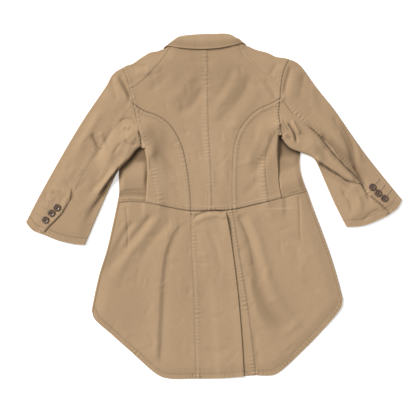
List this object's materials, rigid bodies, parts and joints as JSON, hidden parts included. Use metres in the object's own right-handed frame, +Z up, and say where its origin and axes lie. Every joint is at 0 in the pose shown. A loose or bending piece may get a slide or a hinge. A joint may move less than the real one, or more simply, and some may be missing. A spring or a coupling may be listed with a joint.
{
  "type": "tailcoat",
  "caption": "Tan cotton twill tailcoat jacket with rounded tails and three-quarter sleeves, laid flat on its front with its back showing.",
  "frame": {"origin": "on the surface that the jacket lies on, under the middle of its box", "axes": "+X across the back to the right sleeve, +Y from the tails up to the collar, +Z up from the surface"},
  "size_m": [0.8832, 0.8095, 0.0094],
  "materials": {
    "twill": "tan cotton twill, matt, washed",
    "button": "dark brown imitation horn"
  },
  "bodies": {
    "root": {"centre_back_left": "twill", "side_back_left": "twill", "side_panel_left": "twill", "front_left": "twill", "skirt_left": "twill", "top_sleeve_left": "twill", "under_sleeve_left": "twill", "centre_back_right": "twill", "side_back_right": "twill", "side_panel_right": "twill", "front_right": "twill", "skirt_right": "twill", "top_sleeve_right": "twill", "under_sleeve_right": "twill", "centre_tail": "twill", "vent_underlap": "twill", "collar_fall": "twill", "collar_stand": "twill", "button_left_1": "button", "button_left_2": "button", "button_left_3": "button", "button_right_1": "button", "button_right_2": "button", "button_right_3": "button"}
  },
  "joints": []
}
